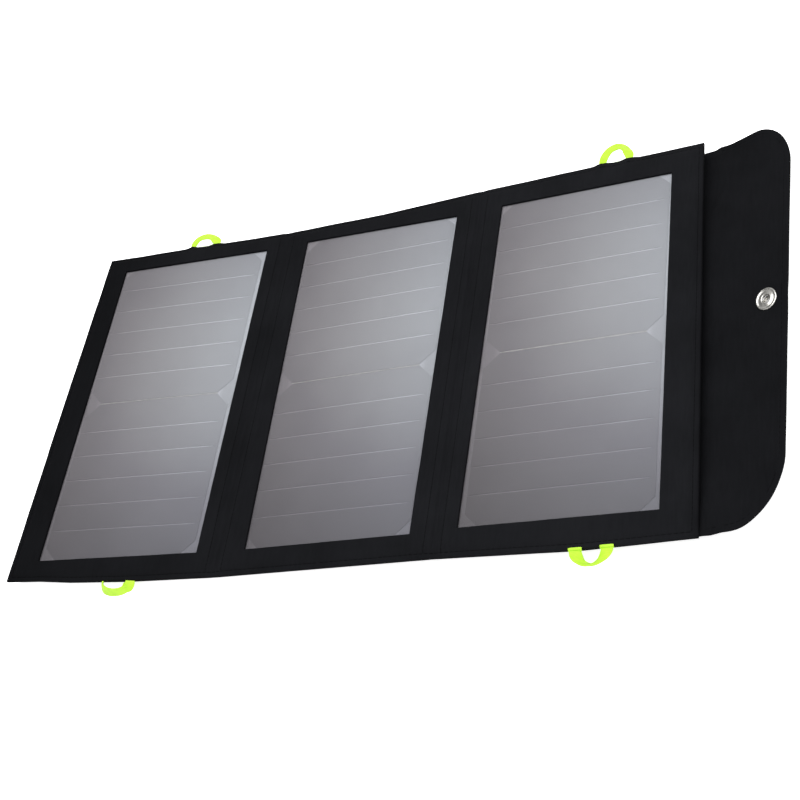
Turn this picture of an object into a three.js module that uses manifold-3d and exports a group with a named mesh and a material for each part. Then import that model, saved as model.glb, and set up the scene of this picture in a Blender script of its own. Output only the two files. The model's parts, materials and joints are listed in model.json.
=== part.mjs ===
// A folding solar charger: three fabric-cased solar panels joined by fabric hinges, four webbing
// hanging loops, and a snap-down closing flap that continues the pocket behind the right panel.
// The charger lies open, +Z up and +X towards the flap. All lengths are in millimetres.
//
// It folds like a letter: the left panel folds onto the middle one, the right panel folds over
// both, and the spine and flap wrap round the stack to the stud on the middle panel's back.

import * as THREE from 'three';
import { mergeVertices } from 'three/addons/utils/BufferGeometryUtils.js';
import Module from 'manifold-3d';

const wasm = await Module();
wasm.setup();

// ---------------------------------------------------------------------------------------------
// Driving dimensions
// ---------------------------------------------------------------------------------------------

const WINDOW = { width: 128, height: 265 };       // clear opening in each fabric frame
const EDGES = {                                   // each panel's own edges, from its window's centre
  left: { top: 146, bottom: -152 },
  middle: { top: 148, bottom: -154 },
  right: { top: 152, bottom: -156 },
};
const PITCH_LEFT = 166;                           // left window centre to middle window centre
const PITCH_RIGHT = 163.5;                        // middle window centre to right window centre
const OUTER_EDGE_LEFT = 84;                       // window centre to the case's left edge
const OUTER_EDGE_RIGHT = 88;                      // window centre to the right panel's free edge

const SKIN_GAP = 0.15;                            // between stacked flat layers
const PIECE_GAP = 0.3;                            // between pieces that meet edge to edge
const FOLD_GAP = 0.6;                             // between the panels of the folded stack

// Layers of a panel, from the back face up
const COVER = 0.5;
const BOARD = 0.6;
const BACKSHEET = 0.45;
const CELL = 0.2;
const FILM = 0.15;
const LIP = 1.55;

const BOARD_BASE = COVER + SKIN_GAP;
const BACKSHEET_BASE = BOARD_BASE + BOARD + SKIN_GAP;
const CELL_BASE = BACKSHEET_BASE + BACKSHEET + SKIN_GAP;
const FILM_BASE = CELL_BASE + CELL + SKIN_GAP;
const LIP_BASE = FILM_BASE + FILM + SKIN_GAP;
const PANEL_THICKNESS = LIP_BASE + LIP;

const LAMINATE = { width: 138, height: 275 };     // film, backsheet and board under the lip
const WAFER = { width: 125, height: 134.2, chamfer: 11 };
const STRIPS = 6;                                 // strips that each wafer is slit into
const END_STRIP = 24.6;                           // the first and the last strip are taller
const STRIP_GAP = 0.9;
const STRIP_JOIN = 4;                             // the slits stop short, so one end holds together
const WAFER_BREAK = 1.4;                          // between the upper and the lower wafer
const BREAK_Y = 0.5;

// Fabric hinges: stiff edges stand back from the fold line by these amounts
const STIFF_SETBACK = 7;
const STIFF_SETBACK_RIGHT = 8.5;                  // the right panel folds over the left one
const COVER_SETBACK = 2;                          // the middle back cover reaches nearer the fold
const HINGE_REACH = 4.2;
const HINGE_HEIGHT_LEFT = PANEL_THICKNESS + FOLD_GAP / 2;
const HINGE_HEIGHT_RIGHT = 1.5 * PANEL_THICKNESS + FOLD_GAP;
const HINGE_LAYER = 0.45;
const LEAD = { width: 8, thickness: 0.3 };

// How far open the charger lies, in degrees
const LEFT_RISE = 4.2;
const SPINE_RISE = 6;
const FLAP_RISE = 8.5;
const RIGHT_FOLD = 179.8;                         // how far the right panel folds over the stack

// Pocket behind the right panel, with its mouth at the free edge
const POCKET_DEPTH = 10.3;
const POCKET_SHEET = 1.0;
const MOUTH_DEPTH = 6;
const POCKET_SEAM_X = -62;
const POCKET_FLOOR_X = [28, 79];
const POCKET_WALL_END_X = 68;
const POCKET_WALL = 1.0;

// Spine and flap
const SHEET = 1.2;                                // spine and flap thickness
const PLY = 0.525;                                // each of the flap's two layers
const PIVOT_CLEARANCE = 0.75;
const SPINE_PIVOT_X = OUTER_EDGE_RIGHT + 2.5;
const FLAP_REACH = { top: 58, bottom: 53.5 };     // from the panel's free edge to the flap's
const FLAP_CORNER = 38;
const FLAP_TOP = 156;
const FLAP_BOTTOM = -148;

// Ring snap on the flap, and its stud on the middle panel's back
const SNAP_REACH = 41;                            // free edge of the panel to the snap's axis
const SNAP_Y = 13.5;
const SNAP = { flange: 7.4, flangeHeight: 1.0, neck: 2.95, bore: 2.55, hole: 3.2, cap: 6.25 };
const STUD = {
  flange: 4.2, flangeHeight: 0.45, head: 2.1, waist: 1.7, length: 2.9, shank: 1.0, backing: 3.2,
};

const STACK = 3 * PANEL_THICKNESS + 2 * FOLD_GAP;
const SNAP_PLAY = 0.25;                           // between the closed snap and the stud's flange
const FLAP_STANDOFF = 2 * SKIN_GAP + STUD.flangeHeight + SNAP_PLAY + SHEET / 2 + SNAP.flangeHeight;
const FOLD_SHORTFALL = THREE.MathUtils.degToRad(180 - RIGHT_FOLD);
const FOLD_LIFT = (PITCH_RIGHT / 2 + SPINE_PIVOT_X) * Math.sin(FOLD_SHORTFALL);
const SPINE_LENGTH = STACK + FOLD_LIFT + MOUTH_DEPTH + SHEET / 2 + FLAP_STANDOFF;
const FLAP_PIVOT_X = SPINE_PIVOT_X + SPINE_LENGTH;
const SNAP_X = OUTER_EDGE_RIGHT + SNAP_REACH;
const FLAP_MIDDLE_Z = -MOUTH_DEPTH - SHEET / 2;   // spine and flap lie in this plane before they rise
const STUD_X = SNAP_X - FLAP_PIVOT_X - SPINE_PIVOT_X;

// Webbing hanging loops, placed from each panel's window centre
const LOOP = { width: 27, band: 4, thickness: 1.4, axisOut: 0.9, gap: 0.3 };
const LOOPS = [
  { name: 'loop_left_top', panel: 'left', x: 7, side: 1, reach: 12 },
  { name: 'loop_left_bottom', panel: 'left', x: 6, side: -1, reach: 13.5 },
  { name: 'loop_right_top', panel: 'right', x: 23, side: 1, reach: 17 },
  { name: 'loop_right_bottom', panel: 'right', x: 25, side: -1, reach: 13.5 },
];

// Charge controller in the pocket, its sockets facing the pocket's mouth
const CONTROLLER = { x: 54, y: -66, length: 32, width: 60, height: 9.6, wall: 1.2, corner: 3 };
const PORT = { length: 14, width: 14.4, height: 6.8, cavityWidth: 12.9, cavityHeight: 5.3, depth: 12 };
const PORT_SPACING = 22;
const TONGUE = { width: 10.4, thickness: 1.8, setback: 5 };
const CIRCUIT = { length: 27, width: 54, thickness: 1.0, inset: 2.5 };
const COIL = { side: 9, height: 2.8, corner: 2, inset: 4.5 };
const SCREW = { head: 1.9, shank: 0.9, headHeight: 0.7, inset: 6, pillar: 2.4, bore: 1.15 };
const LENS = { radius: 1.3, hole: 1.6, inset: 8 };
const LEAD_RADIUS = 1.1;

// ---------------------------------------------------------------------------------------------
// Materials
// ---------------------------------------------------------------------------------------------

const material = (color, roughness, metalness = 0) =>
  new THREE.MeshStandardMaterial({ color, roughness, metalness });

const LOOKS = {
  fabric: material(0x1c1d20, 0.85),
  lining: material(0x17181a, 0.9),
  film: material(0xa7a6b0, 0.25),
  silicon: material(0x77757f, 0.35, 0.1),
  backsheet: material(0xd9dadd, 0.5),
  stiffener: material(0x3a3b3d, 0.7),
  webbing: material(0xc8f53c, 0.8),
  nickel: material(0xc9c7c3, 0.25, 1),
  housing: material(0x232427, 0.55),
  circuit: material(0x1e5a34, 0.5),
  steel: material(0xb8b9bb, 0.3, 1),
  tinned: material(0xbdbab4, 0.4, 1),
  lens: material(0xdfe8e2, 0.2),
};

// ---------------------------------------------------------------------------------------------
// Shape helpers
// ---------------------------------------------------------------------------------------------

function rectangle(x0, y0, x1, y1, Kind = THREE.Shape) {
  const outline = new Kind();
  outline.moveTo(x0, y0);
  outline.lineTo(x1, y0);
  outline.lineTo(x1, y1);
  outline.lineTo(x0, y1);
  outline.closePath();
  return outline;
}

function roundedRectangle(x0, y0, x1, y1, radius) {
  const outline = new THREE.Shape();
  outline.moveTo(x0 + radius, y0);
  outline.absarc(x1 - radius, y0 + radius, radius, -Math.PI / 2, 0);
  outline.absarc(x1 - radius, y1 - radius, radius, 0, Math.PI / 2);
  outline.absarc(x0 + radius, y1 - radius, radius, Math.PI / 2, Math.PI);
  outline.absarc(x0 + radius, y0 + radius, radius, Math.PI, 1.5 * Math.PI);
  return outline;
}

function plate(outline, bottom, thickness, curveSegments = 8) {
  const options = { depth: thickness, bevelEnabled: false, curveSegments };
  return new THREE.ExtrudeGeometry(outline, options).translate(0, 0, bottom);
}

// A profile drawn in X and Z, carried along Y from y0 to y1
function carriedAlongY(outline, y0, y1) {
  const options = { depth: y1 - y0, bevelEnabled: false, curveSegments: 8 };
  return new THREE.ExtrudeGeometry(outline, options).rotateX(Math.PI / 2).translate(0, y1, 0);
}

function block(x0, x1, y0, y1, z0, z1) {
  const centre = [(x0 + x1) / 2, (y0 + y1) / 2, (z0 + z1) / 2];
  return new THREE.BoxGeometry(x1 - x0, y1 - y0, z1 - z0).translate(...centre);
}

// A shape turned about Z from radius and height pairs that start and end on the axis
function turned(profile, segments = 32) {
  const points = profile.map(([radius, height]) => new THREE.Vector2(radius, height));
  return new THREE.LatheGeometry(points, segments).rotateX(Math.PI / 2);
}

// A round peg along Z, which serves as a pillar and as a drill
function peg(radius, x, y, z0, z1, segments = 16) {
  return turned([[0, z0], [radius, z0], [radius, z1], [0, z1]], segments).translate(x, y, 0);
}

function toSolid(geometry) {
  const bare = geometry.clone();
  bare.deleteAttribute('normal');
  bare.deleteAttribute('uv');
  const merged = mergeVertices(bare, 1e-4);
  const vertProperties = new Float32Array(merged.attributes.position.array);
  const triVerts = new Uint32Array(merged.index.array);
  return new wasm.Manifold(new wasm.Mesh({ numProp: 3, vertProperties, triVerts }));
}

function toGeometry(solid) {
  const mesh = solid.getMesh();
  const geometry = new THREE.BufferGeometry();
  geometry.setAttribute('position', new THREE.BufferAttribute(new Float32Array(mesh.vertProperties), 3));
  geometry.setIndex(new THREE.BufferAttribute(new Uint32Array(mesh.triVerts), 1));
  geometry.computeVertexNormals();
  return geometry;
}

const joined = (first, ...others) =>
  toGeometry(others.reduce((solid, other) => solid.add(toSolid(other)), toSolid(first)));

const cut = (body, ...tools) =>
  toGeometry(tools.reduce((solid, tool) => solid.subtract(toSolid(tool)), toSolid(body)));

function addPiece(group, name, geometry, look) {
  const mesh = new THREE.Mesh(geometry, LOOKS[look].clone());
  mesh.name = name;
  group.add(mesh);
  return mesh;
}

// A group turned about a line along Y through (x, z); children keep the flat coordinates
function turnedGroup(parent, x, z, degrees) {
  const pivot = new THREE.Group();
  pivot.position.set(x, 0, z);
  pivot.rotation.y = THREE.MathUtils.degToRad(degrees);
  parent.add(pivot);
  const flat = new THREE.Group();
  flat.position.set(-x, 0, -z);
  pivot.add(flat);
  return flat;
}

// ---------------------------------------------------------------------------------------------
// One panel: back cover, stiffener board, laminate and fabric front frame
// ---------------------------------------------------------------------------------------------

// The fabric front: a rim round the laminate, and a lip that holds the laminate's edges down
function frontFrame(left, right, { top, bottom }) {
  const laminateHole = (path) => {
    const x = LAMINATE.width / 2 + PIECE_GAP;
    const y = LAMINATE.height / 2 + PIECE_GAP;
    path.holes.push(rectangle(-x, -y, x, y, THREE.Path));
    return path;
  };
  const windowHole = (path) => {
    const x = WINDOW.width / 2;
    const y = WINDOW.height / 2;
    path.holes.push(rectangle(-x, -y, x, y, THREE.Path));
    return path;
  };
  const rim = laminateHole(rectangle(left, bottom, right, top));
  const lip = windowHole(rectangle(left, bottom, right, top));
  const rimGeometry = plate(rim, BOARD_BASE, LIP_BASE - BOARD_BASE + LIP / 2);
  return joined(rimGeometry, plate(lip, LIP_BASE, LIP));
}

function laminateSheet(bottom, thickness) {
  const x = LAMINATE.width / 2;
  const y = LAMINATE.height / 2;
  return plate(rectangle(-x, -y, x, y), bottom, thickness);
}

// One wafer, its corners cropped, slit into strips that stay joined at their right-hand end
function waferStrips(centreY) {
  const { chamfer } = WAFER;
  const x = WAFER.width / 2;
  const y = WAFER.height / 2;
  const outline = new THREE.Shape();
  const corners = [[x - chamfer, -y], [x, chamfer - y], [x, y - chamfer], [x - chamfer, y],
    [chamfer - x, y], [-x, y - chamfer], [-x, chamfer - y], [chamfer - x, -y]];
  corners.forEach((corner, index) => (index ? outline.lineTo(...corner) : outline.moveTo(...corner)));
  outline.closePath();
  const wafer = plate(outline, CELL_BASE, CELL);
  const pitch = (WAFER.height - 2 * END_STRIP) / (STRIPS - 2);
  const slits = [];
  for (let row = 1; row < STRIPS; row += 1) {
    const slitY = END_STRIP + (row - 1) * pitch - y;
    slits.push(block(-x - 1, x - STRIP_JOIN, slitY - STRIP_GAP / 2, slitY + STRIP_GAP / 2,
      CELL_BASE - 1, CELL_BASE + 1));
  }
  return cut(wafer, ...slits).translate(0, centreY, 0);
}

// Tinned ribbon between the two wafers, lying in the break between them
function busRibbon() {
  const half = WAFER_BREAK / 2 - PIECE_GAP;
  const x = WAFER.width / 2 - WAFER.chamfer;
  return block(-x, x, BREAK_Y - half, BREAK_Y + half, CELL_BASE, CELL_BASE + CELL);
}

function addPanel(group, side, left, right, coverLeft = left, coverRight = right) {
  const waferY = (WAFER.height + WAFER_BREAK) / 2;
  const { top, bottom } = EDGES[side];
  const cover = plate(rectangle(coverLeft, bottom, coverRight, top), 0, COVER);
  addPiece(group, `${side}_back_cover`, cover, 'lining');
  addPiece(group, `${side}_stiffener`, laminateSheet(BOARD_BASE, BOARD), 'stiffener');
  addPiece(group, `${side}_backsheet`, laminateSheet(BACKSHEET_BASE, BACKSHEET), 'backsheet');
  addPiece(group, `${side}_cells_upper`, waferStrips(BREAK_Y + waferY), 'silicon');
  addPiece(group, `${side}_cells_lower`, waferStrips(BREAK_Y - waferY), 'silicon');
  addPiece(group, `${side}_bus_ribbon`, busRibbon(), 'tinned');
  addPiece(group, `${side}_cover_film`, laminateSheet(FILM_BASE, FILM), 'film');
  addPiece(group, `${side}_front_frame`, frontFrame(left, right, EDGES[side]), 'fabric');
}

// ---------------------------------------------------------------------------------------------
// Fabric hinges, carried by the middle panel: two fabric layers with a flat lead between them
// ---------------------------------------------------------------------------------------------

function addHinge(group, side, x0, x1) {
  const { top, bottom } = EDGES.middle;
  const lower = plate(rectangle(x0, bottom, x1, top), 0, HINGE_LAYER);
  const leadBase = HINGE_LAYER + SKIN_GAP;
  const lead = block(x0, x1, -LEAD.width / 2, LEAD.width / 2, leadBase, leadBase + LEAD.thickness);
  const upperBase = leadBase + LEAD.thickness + SKIN_GAP;
  const upper = plate(rectangle(x0, bottom, x1, top), upperBase, HINGE_LAYER);
  addPiece(group, `hinge_${side}_back_strip`, lower, 'fabric');
  addPiece(group, `hinge_${side}_lead`, lead, 'tinned');
  addPiece(group, `hinge_${side}_front_strip`, upper, 'fabric');
}

// ---------------------------------------------------------------------------------------------
// Hanging loops
// ---------------------------------------------------------------------------------------------

// A flat arch of webbing, its feet just off the panel's edge
function loopArch(reach) {
  const half = LOOP.width / 2;
  const outline = new THREE.Shape();
  outline.moveTo(half, 0);
  outline.absellipse(0, 0, half, reach - LOOP.gap, 0, Math.PI, false, 0);
  outline.lineTo(-half + LOOP.band, 0);
  outline.absellipse(0, 0, half - LOOP.band, reach - LOOP.gap - LOOP.band, Math.PI, 0, true, 0);
  outline.lineTo(half, 0);
  return plate(outline, -LOOP.thickness / 2, LOOP.thickness, 14);
}

function addLoop(group, { name, panel, x, side, reach }) {
  const mesh = addPiece(group, name, loopArch(reach), 'webbing');
  const edge = side > 0 ? EDGES[panel].top : EDGES[panel].bottom;
  mesh.position.set(x, edge + side * LOOP.gap, PANEL_THICKNESS / 2);
  if (side < 0) mesh.rotation.z = Math.PI;
}

// ---------------------------------------------------------------------------------------------
// Pocket and charge controller behind the right panel
// ---------------------------------------------------------------------------------------------

// The pocket's outer sheet drops from its seam, runs level under the controller and rises to the
// mouth, and its two side walls close it along the panel's top and bottom edges
function pocketSheet() {
  const [floorStart, floorEnd] = POCKET_FLOOR_X;
  const { top, bottom } = EDGES.right;
  const mouthX = SPINE_PIVOT_X - PIVOT_CLEARANCE;
  const inner = [
    [POCKET_SEAM_X, -PIECE_GAP],
    [floorStart, -POCKET_DEPTH - PIECE_GAP],
    [floorEnd, -POCKET_DEPTH - PIECE_GAP],
    [mouthX, -MOUTH_DEPTH],
  ];
  const line = new THREE.Shape();
  inner.forEach(([x, z], index) => (index ? line.lineTo(x, z) : line.moveTo(x, z)));
  [...inner].reverse().forEach(([x, z]) => line.lineTo(x, z - POCKET_SHEET));
  line.closePath();
  const sheet = carriedAlongY(line, bottom, top);

  const wallLine = new THREE.Shape();
  wallLine.moveTo(POCKET_SEAM_X, -PIECE_GAP);
  wallLine.lineTo(POCKET_SEAM_X, -PIECE_GAP - POCKET_SHEET / 2);
  wallLine.lineTo(floorStart, -POCKET_DEPTH - PIECE_GAP - POCKET_SHEET / 2);
  wallLine.lineTo(POCKET_WALL_END_X, -POCKET_DEPTH - PIECE_GAP - POCKET_SHEET / 2);
  wallLine.lineTo(POCKET_WALL_END_X, -PIECE_GAP);
  wallLine.closePath();
  const lowerWall = carriedAlongY(wallLine, bottom, bottom + POCKET_WALL);
  const upperWall = carriedAlongY(wallLine, top - POCKET_WALL, top);
  return joined(sheet, lowerWall, upperWall);
}

// The controller's box, in the right panel's coordinates; the two halves meet at the split
const BOX = {
  x0: CONTROLLER.x - CONTROLLER.length / 2,
  x1: CONTROLLER.x + CONTROLLER.length / 2,
  y0: CONTROLLER.y - CONTROLLER.width / 2,
  y1: CONTROLLER.y + CONTROLLER.width / 2,
  top: -PIECE_GAP,
  bottom: -PIECE_GAP - CONTROLLER.height,
};
const SPLIT = (BOX.top + BOX.bottom) / 2;
const PORT_CENTRES = [CONTROLLER.y - PORT_SPACING / 2, CONTROLLER.y + PORT_SPACING / 2];
const SCREW_PLACES = [
  [BOX.x0 + SCREW.inset, BOX.y0 + SCREW.inset],
  [BOX.x0 + SCREW.inset, BOX.y1 - SCREW.inset],
];

// A block from x0 to x1 with the given width and height, centred on a socket
function alongPort(centre, x0, x1, width, height) {
  return block(x0, x1, centre - width / 2, centre + width / 2, SPLIT - height / 2, SPLIT + height / 2);
}

// A shape turned about X through the status lens's place on the socket face
function atLens(profile) {
  const y = BOX.y1 - LENS.inset;
  return turned(profile, 16).rotateY(Math.PI / 2).translate(BOX.x1, y, SPLIT);
}

// What both halves of the housing are cut by: the sockets, the lens and the lead's way in
function housingHoles() {
  const { wall } = CONTROLLER;
  const width = PORT.width + 2 * PIECE_GAP;
  const height = PORT.height + 2 * PIECE_GAP;
  const slots = PORT_CENTRES.map((y) => alongPort(y, BOX.x1 - wall - 1, BOX.x1 + 1, width, height));
  const lensHole = atLens([[0, -wall - 1], [LENS.hole, -wall - 1], [LENS.hole, 1], [0, 1]]);
  const leadHole = alongPort(CONTROLLER.y, BOX.x0 - 1, BOX.x0 + wall + 1, 6, 3);
  return [...slots, lensHole, leadHole];
}

function addHousing(group) {
  const { wall, corner } = CONTROLLER;
  const { x0, x1, y0, y1, top, bottom } = BOX;
  const outline = () => roundedRectangle(x0, y0, x1, y1, corner);
  const inside = (z0, z1) => block(x0 + wall, x1 - wall, y0 + wall, y1 - wall, z0, z1);

  // The panel-side half carries the pillars that the screws bite into
  const pillars = SCREW_PLACES.map(([x, y]) => peg(SCREW.pillar, x, y, SPLIT, top - wall + 0.1));
  const bores = SCREW_PLACES.map(([x, y]) => peg(SCREW.bore, x, y, SPLIT - 0.5, SPLIT + 2.5));
  const lidShell = cut(plate(outline(), SPLIT, top - SPLIT), inside(SPLIT - 1, top - wall));
  const lid = cut(joined(lidShell, ...pillars), ...bores, ...housingHoles());
  addPiece(group, 'controller_lid', lid, 'housing');

  // The other half has counterbored holes for the screws' heads
  const seatTop = bottom + SCREW.headHeight + SKIN_GAP;
  const holes = SCREW_PLACES.map(([x, y]) => peg(SCREW.bore, x, y, bottom - 1, bottom + wall + 1));
  const seats = SCREW_PLACES.map(([x, y]) => peg(SCREW.head + 0.2, x, y, bottom - 1, seatTop, 20));
  const height = SPLIT - SKIN_GAP - bottom;
  const baseShell = cut(plate(outline(), bottom, height), inside(bottom + wall, SPLIT + 1));
  const base = cut(baseShell, ...holes, ...seats, ...housingHoles());
  addPiece(group, 'controller_base', base, 'housing');

  const headTop = bottom + SCREW.headHeight;
  SCREW_PLACES.forEach(([x, y], index) => {
    const screw = turned([
      [0, bottom], [SCREW.head, bottom], [SCREW.head, headTop],
      [SCREW.shank, headTop], [SCREW.shank, SPLIT + 2], [0, SPLIT + 2],
    ], 20).translate(x, y, 0);
    addPiece(group, `controller_screw_${index + 1}`, screw, 'steel');
  });
}

// Circuit board at mid-height, notched round the screws and round the sockets it carries
function addCircuit(group) {
  const boardTop = SPLIT - 0.6;
  const x0 = BOX.x0 + CIRCUIT.inset;
  const half = CIRCUIT.width / 2;
  const [y0, y1] = [CONTROLLER.y - half, CONTROLLER.y + half];
  const board = block(x0, x0 + CIRCUIT.length, y0, y1, boardTop - CIRCUIT.thickness, boardTop);
  const reach = SCREW.pillar + 0.8;
  const screwNotches = SCREW_PLACES.map(([x, y]) =>
    block(x - 8, x + reach, y - reach, y + reach, SPLIT - 3, SPLIT));
  const portX = BOX.x1 - PORT.length - PIECE_GAP;
  const portNotches = PORT_CENTRES.map((y) =>
    alongPort(y, portX, BOX.x1 + 1, PORT.width + 2 * PIECE_GAP, PORT.height));
  addPiece(group, 'controller_circuit', cut(board, ...screwNotches, ...portNotches), 'circuit');

  const coilX = BOX.x0 + COIL.inset;
  const coilY = CONTROLLER.y - COIL.side / 2;
  const coil = roundedRectangle(coilX, coilY, coilX + COIL.side, coilY + COIL.side, COIL.corner);
  addPiece(group, 'controller_coil', plate(coil, boardTop + SKIN_GAP, COIL.height), 'stiffener');
}

function addSockets(group) {
  PORT_CENTRES.forEach((y, index) => {
    const shell = alongPort(y, BOX.x1 - PORT.length, BOX.x1, PORT.width, PORT.height);
    const cavity = alongPort(y, BOX.x1 - PORT.depth, BOX.x1 + 1, PORT.cavityWidth, PORT.cavityHeight);
    const tongueX = [BOX.x1 - PORT.depth - 1, BOX.x1 - TONGUE.setback];
    const tongue = alongPort(y, ...tongueX, TONGUE.width, TONGUE.thickness).translate(0, 0, 1);
    addPiece(group, `usb_socket_${index + 1}`, joined(cut(shell, cavity), tongue), 'steel');
  });
  const seat = -CONTROLLER.wall - 0.2;
  const lens = atLens([[0, seat], [LENS.radius, seat], [LENS.radius, 0.1], [0, 0.3]]);
  addPiece(group, 'status_lens', lens, 'lens');
}

// Lead from the panel's laminate into the controller's far wall
function addControllerLead(group) {
  const { y } = CONTROLLER;
  const route = new THREE.CatmullRomCurve3([
    new THREE.Vector3(BOX.x0 + 0.2, y, SPLIT),
    new THREE.Vector3(BOX.x0 - 8, y, SPLIT + 0.1),
    new THREE.Vector3(BOX.x0 - 20, y + 4, SPLIT + 1.4),
    new THREE.Vector3(BOX.x0 - 34, y + 9, BOX.top - 1.3),
    new THREE.Vector3(BOX.x0 - 46, y + 10, BOX.top - 1.2),
  ]);
  const section = new THREE.Shape();
  section.absarc(0, 0, LEAD_RADIUS, 0, 2 * Math.PI);
  const lead = new THREE.ExtrudeGeometry(section, { steps: 24, extrudePath: route, curveSegments: 5 });
  addPiece(group, 'controller_lead', lead, 'lining');
}

// ---------------------------------------------------------------------------------------------
// Spine, flap and ring snap
// ---------------------------------------------------------------------------------------------

function addSpine(group) {
  const [x0, x1] = [SPINE_PIVOT_X + PIVOT_CLEARANCE, FLAP_PIVOT_X - PIVOT_CLEARANCE];
  const sheet = plate(rectangle(x0, FLAP_BOTTOM, x1, FLAP_TOP), FLAP_MIDDLE_Z - SHEET / 2, SHEET);
  addPiece(group, 'flap_spine', sheet, 'fabric');
}

// The flap's far corners are quarter ellipses, and a hole takes the snap's neck
function flapOutline() {
  const x0 = FLAP_PIVOT_X + PIVOT_CLEARANCE;
  const lowerWidth = OUTER_EDGE_RIGHT + FLAP_REACH.bottom - x0;
  const upperWidth = OUTER_EDGE_RIGHT + FLAP_REACH.top - x0;
  const outline = new THREE.Shape();
  const [lower, upper] = [FLAP_BOTTOM + FLAP_CORNER, FLAP_TOP - FLAP_CORNER];
  outline.moveTo(x0, FLAP_BOTTOM);
  outline.absellipse(x0, lower, lowerWidth, FLAP_CORNER, -Math.PI / 2, 0, false, 0);
  outline.absellipse(x0, upper, upperWidth, FLAP_CORNER, 0, Math.PI / 2, false, 0);
  outline.closePath();
  const hole = new THREE.Path();
  hole.absarc(SNAP_X, SNAP_Y, SNAP.hole, 0, 2 * Math.PI, true);
  outline.holes.push(hole);
  return outline;
}

function addFlap(group) {
  const outline = flapOutline();
  const [outerZ, liningZ] = [FLAP_MIDDLE_Z - SHEET / 2, FLAP_MIDDLE_Z + SHEET / 2 - PLY];
  addPiece(group, 'flap_outer', plate(outline, outerZ, PLY, 16), 'fabric');
  addPiece(group, 'flap_lining', plate(outline, liningZ, PLY, 16), 'lining');

  // The socket's ring stands on the lining, its neck goes through both plies, and the cap covers it
  const place = [SNAP_X, SNAP_Y, FLAP_MIDDLE_Z];
  const seat = SHEET / 2 + SKIN_GAP;
  const face = seat + SNAP.flangeHeight;
  const socket = turned([
    [SNAP.bore, -SHEET / 2], [SNAP.neck, -SHEET / 2], [SNAP.neck, seat], [SNAP.flange, seat],
    [SNAP.flange - 0.2, face - 0.35], [SNAP.flange - 1.2, face], [SNAP.bore + 0.9, face],
    [SNAP.bore, face - 0.5], [SNAP.bore, -SHEET / 2],
  ], 40).translate(...place);
  addPiece(group, 'snap_socket', socket, 'nickel');
  const capTop = -SHEET / 2 - SKIN_GAP;
  const cap = turned([
    [0, capTop - 1.1], [SNAP.cap * 0.6, capTop - 0.95], [SNAP.cap - 0.5, capTop - 0.55],
    [SNAP.cap, capTop - 0.15], [SNAP.cap, capTop], [0, capTop],
  ], 40).translate(...place);
  addPiece(group, 'snap_cap', cap, 'nickel');
}

// The stud lies where the snap comes once the flap is wrapped round the stack
function addStud(group) {
  const base = -SKIN_GAP - STUD.flangeHeight;
  const stud = turned([
    [0, -STUD.length], [STUD.head - 0.5, -STUD.length], [STUD.head, -STUD.length + 0.5],
    [STUD.head, -STUD.length + 1.0], [STUD.waist, -STUD.length + 1.4], [STUD.waist, base],
    [STUD.flange, base], [STUD.flange, -SKIN_GAP], [STUD.shank, -SKIN_GAP],
    [STUD.shank, COVER], [0, COVER],
  ], 32).translate(STUD_X, SNAP_Y, 0);
  addPiece(group, 'snap_stud', stud, 'nickel');
  const backingBase = COVER + SKIN_GAP;
  const backing = peg(STUD.backing, STUD_X, SNAP_Y, backingBase, backingBase + 0.5, 32);
  addPiece(group, 'stud_backing', backing, 'nickel');
}

// ---------------------------------------------------------------------------------------------
// The whole charger
// ---------------------------------------------------------------------------------------------

const charger = new THREE.Group();

// The charger rests on the stud and on the near edge of the pocket's level floor
const pocketUnderside = POCKET_DEPTH + PIECE_GAP + POCKET_SHEET;
const tilt = Math.atan2(pocketUnderside - STUD.length, PITCH_RIGHT + POCKET_FLOOR_X[0] - STUD_X);
const open = new THREE.Group();
open.rotation.y = -tilt;
charger.add(open);

const foldLeftX = -PITCH_LEFT / 2;
const foldRightX = PITCH_RIGHT / 2;

addPanel(open, 'middle', foldLeftX + STIFF_SETBACK, foldRightX - STIFF_SETBACK,
  foldLeftX + COVER_SETBACK, foldRightX - STIFF_SETBACK);
const middleFrame = open.getObjectByName('middle_front_frame');
const backingPocket = peg(STUD.backing + 0.3, STUD_X, SNAP_Y, COVER, COVER + 0.8, 32);
middleFrame.geometry = cut(middleFrame.geometry, backingPocket);
const middleCover = open.getObjectByName('middle_back_cover');
middleCover.geometry = cut(middleCover.geometry, peg(STUD.shank + 0.3, STUD_X, SNAP_Y, -1, 1, 32));
addStud(open);
addHinge(open, 'left', foldLeftX - HINGE_REACH, foldLeftX + COVER_SETBACK - PIECE_GAP);
addHinge(open, 'right', foldRightX - STIFF_SETBACK + PIECE_GAP, foldRightX + COVER_SETBACK);

const leftTurned = turnedGroup(open, foldLeftX, HINGE_HEIGHT_LEFT, LEFT_RISE);
const leftPanel = new THREE.Group();
leftPanel.position.x = -PITCH_LEFT;
leftTurned.add(leftPanel);
addPanel(leftPanel, 'left', -OUTER_EDGE_LEFT, PITCH_LEFT / 2 - STIFF_SETBACK);

const rightPanel = new THREE.Group();
rightPanel.position.x = PITCH_RIGHT;
open.add(rightPanel);
addPanel(rightPanel, 'right', -PITCH_RIGHT / 2 + STIFF_SETBACK_RIGHT, OUTER_EDGE_RIGHT);
addPiece(rightPanel, 'pocket_sheet', pocketSheet(), 'fabric');
addHousing(rightPanel);
addCircuit(rightPanel);
addSockets(rightPanel);
addControllerLead(rightPanel);

LOOPS.forEach((loop) => addLoop(loop.panel === 'left' ? leftPanel : rightPanel, loop));

const spine = turnedGroup(rightPanel, SPINE_PIVOT_X, FLAP_MIDDLE_Z, -SPINE_RISE);
addSpine(spine);
const flap = turnedGroup(spine, FLAP_PIVOT_X, FLAP_MIDDLE_Z, -FLAP_RISE);
addFlap(flap);

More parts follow.
